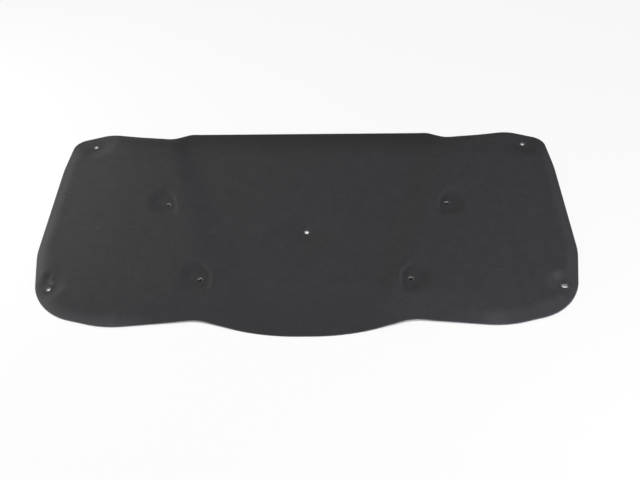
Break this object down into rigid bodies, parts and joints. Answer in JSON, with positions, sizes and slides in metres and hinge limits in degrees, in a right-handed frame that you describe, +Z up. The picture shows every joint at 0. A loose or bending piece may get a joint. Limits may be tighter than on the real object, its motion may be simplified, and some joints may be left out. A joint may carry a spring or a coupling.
{
  "type": "hood insulation pad",
  "caption": "Moulded black felt pad for the underside of a car hood, with a bowed front edge, thin rim, two soft ridges and dimpled clip holes.",
  "frame": {"origin": "on the floor below the middle of the pad's overall box, the pad lying engine side up", "axes": "+X across the car, to the right as seen from the bowed front edge; +Y towards the windscreen; +Z up, out of the engine side"},
  "size_m": [1.2214, 0.659, 0.0225],
  "materials": {
    "black_felt": "matte black nonwoven fibre felt with a faint mottle and lint"
  },
  "bodies": {
    "root": {"insulation_pad": "black_felt"}
  },
  "joints": []
}
